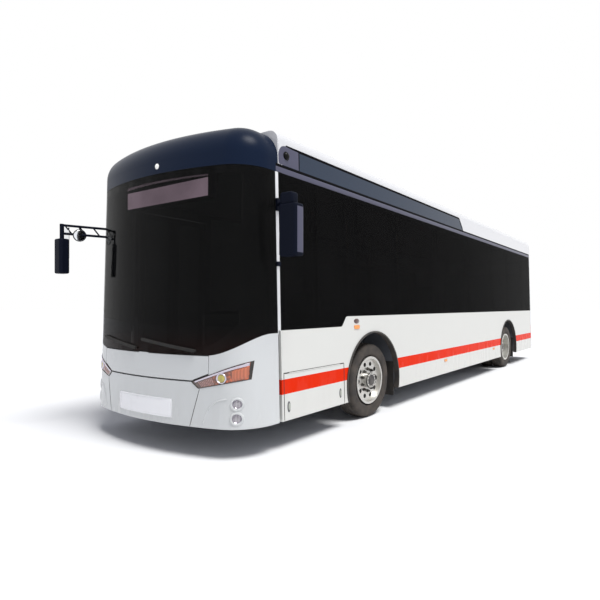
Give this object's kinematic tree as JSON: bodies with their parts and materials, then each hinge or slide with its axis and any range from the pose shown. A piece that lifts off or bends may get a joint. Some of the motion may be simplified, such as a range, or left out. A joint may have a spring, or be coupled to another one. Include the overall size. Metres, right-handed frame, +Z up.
{
  "type": "electric city bus",
  "caption": "Low-floor electric city bus with a bowed glass front, bonded dark side glazing, steered front wheels, paired rear wheels, inward-turning kerb-side doors and hinged service lids",
  "frame": {"origin": "on the ground under the middle of the bus", "axes": "+X forward, +Y to the driver's side, +Z up"},
  "size_m": [10.555, 3.2125, 3.11],
  "materials": {
    "white_paint": "gloss white body paint",
    "blue_paint": "gloss dark blue paint",
    "frame_paint": "dark satin frame paint",
    "tinted_glass": "dark tinted glass",
    "clear_lens": "clear lamp lens",
    "red_lens": "red lamp lens",
    "amber_lens": "amber lamp lens",
    "black_rubber": "matt black rubber",
    "tyre": "dusty black tyre rubber",
    "polished_rim": "polished aluminium",
    "chassis_black": "black chassis paint on iron",
    "motor_case": "cast motor case",
    "pack_case": "grey pack case",
    "floor_cover": "grey floor covering",
    "lining": "pale ceiling lining",
    "dash_plastic": "black moulded dash",
    "seat_shell": "blue moulded seat",
    "driver_fabric": "dark woven seat cover",
    "pole_paint": "yellow coated tube",
    "mirror_shell": "dark mirror housing"
  },
  "bodies": {
    "body": {"left_side": "white_paint", "right_side": "white_paint", "roof_panel": "white_paint", "front_corners": "white_paint", "bumper": "white_paint", "rear_wall": "white_paint", "front_dome": "blue_paint", "roof_fairings": "blue_paint", "window_frames": "frame_paint", "front_frame": "frame_paint", "side_glass": "tinted_glass", "windscreen": "tinted_glass", "rear_glass": "tinted_glass", "front_lamps": "clear_lens", "tail_lamps": "red_lens", "side_markers": "amber_lens", "arch_lips": "black_rubber", "mudflaps": "black_rubber", "wipers": "black_rubber", "front_axle": "chassis_black", "rear_axle": "chassis_black", "chassis_rails": "chassis_black", "towing_eyes": "chassis_black", "traction_motor": "motor_case", "battery_packs": "pack_case", "floor": "floor_cover", "wheel_boxes": "floor_cover", "ceiling": "lining", "dashboard": "dash_plastic", "steering_wheel": "dash_plastic", "sign_box": "dash_plastic", "passenger_seats": "seat_shell", "driver_seat": "driver_fabric", "grab_poles": "pole_paint", "mirrors": "mirror_shell"},
    "knuckle_left": {"knuckle_left": "chassis_black"},
    "knuckle_right": {"knuckle_right": "chassis_black"},
    "wheel_front_left": {"front_tyre_left": "tyre", "front_rim_left": "polished_rim"},
    "wheel_front_right": {"front_tyre_right": "tyre", "front_rim_right": "polished_rim"},
    "wheel_rear_left": {"rear_tyres_left": "tyre", "rear_rims_left": "polished_rim"},
    "wheel_rear_right": {"rear_tyres_right": "tyre", "rear_rims_right": "polished_rim"},
    "hood_lid": {"hood": "white_paint"},
    "left_flap_lid": {"left_flap": "white_paint"},
    "rear_hatch_lid": {"rear_hatch": "white_paint"},
    "front_door_fore_leaf": {"front_door_fore": "frame_paint", "front_door_fore_glass": "tinted_glass"},
    "front_door_aft_leaf": {"front_door_aft": "frame_paint", "front_door_aft_glass": "tinted_glass"},
    "middle_door_fore_leaf": {"middle_door_fore": "frame_paint", "middle_door_fore_glass": "tinted_glass"},
    "middle_door_aft_leaf": {"middle_door_aft": "frame_paint", "middle_door_aft_glass": "tinted_glass"}
  },
  "joints": [
    {"name": "steer_left", "type": "hinge", "parent": "body", "child": "knuckle_left", "pos_m": [2.905, 0.9595, 0.464], "axis": [0, 0, 1], "range_deg": [-45, 45]},
    {"name": "spin_front_left", "type": "hinge", "parent": "knuckle_left", "child": "wheel_front_left", "pos_m": [2.905, 1.0525, 0.464], "axis": [0, 1, 0], "continuous": true},
    {"name": "spin_rear_left", "type": "hinge", "parent": "body", "child": "wheel_rear_left", "pos_m": [-2.975, 1.0525, 0.464], "axis": [0, 1, 0], "continuous": true},
    {"name": "steer_right", "type": "hinge", "parent": "body", "child": "knuckle_right", "pos_m": [2.905, -0.9595, 0.464], "axis": [0, 0, 1], "range_deg": [-45, 45]},
    {"name": "spin_front_right", "type": "hinge", "parent": "knuckle_right", "child": "wheel_front_right", "pos_m": [2.905, -1.0525, 0.464], "axis": [0, 1, 0], "continuous": true},
    {"name": "spin_rear_right", "type": "hinge", "parent": "body", "child": "wheel_rear_right", "pos_m": [-2.975, -1.0525, 0.464], "axis": [0, 1, 0], "continuous": true},
    {"name": "front_door_fore_swing", "type": "hinge", "parent": "body", "child": "front_door_fore_leaf", "pos_m": [4.52, -1.22555, 0.37], "axis": [0, -0.0244, -0.9997], "range_deg": [0, 90]},
    {"name": "front_door_aft_swing", "type": "hinge", "parent": "body", "child": "front_door_aft_leaf", "pos_m": [3.595, -1.22555, 0.37], "axis": [0, 0.0244, 0.9997], "range_deg": [0, 90]},
    {"name": "middle_door_fore_swing", "type": "hinge", "parent": "body", "child": "middle_door_fore_leaf", "pos_m": [0.315, -1.22555, 0.37], "axis": [0, -0.0244, -0.9997], "range_deg": [0, 90]},
    {"name": "middle_door_aft_swing", "type": "hinge", "parent": "body", "child": "middle_door_aft_leaf", "pos_m": [-0.815, -1.22555, 0.37], "axis": [0, 0.0244, 0.9997], "range_deg": [0, 90]},
    {"name": "hood_lift", "type": "hinge", "parent": "body", "child": "hood_lid", "pos_m": [5.22899, 0, 0.945], "axis": [0, -1, 0], "range_deg": [0, 70]},
    {"name": "left_flap_lift", "type": "hinge", "parent": "body", "child": "left_flap_lid", "pos_m": [4.075, 1.23888, 0.745], "axis": [1, 0, 0], "range_deg": [0, 85]},
    {"name": "rear_hatch_lift", "type": "hinge", "parent": "body", "child": "rear_hatch_lid", "pos_m": [-5.22435, 0, 1.135], "axis": [0, 1, 0], "range_deg": [0, 80]}
  ],
  "couplings": [
    {"joint": "steer_right", "follows": "steer_left", "ratio": 1},
    {"joint": "front_door_aft_swing", "follows": "front_door_fore_swing", "ratio": 1},
    {"joint": "middle_door_aft_swing", "follows": "middle_door_fore_swing", "ratio": 1}
  ]
}
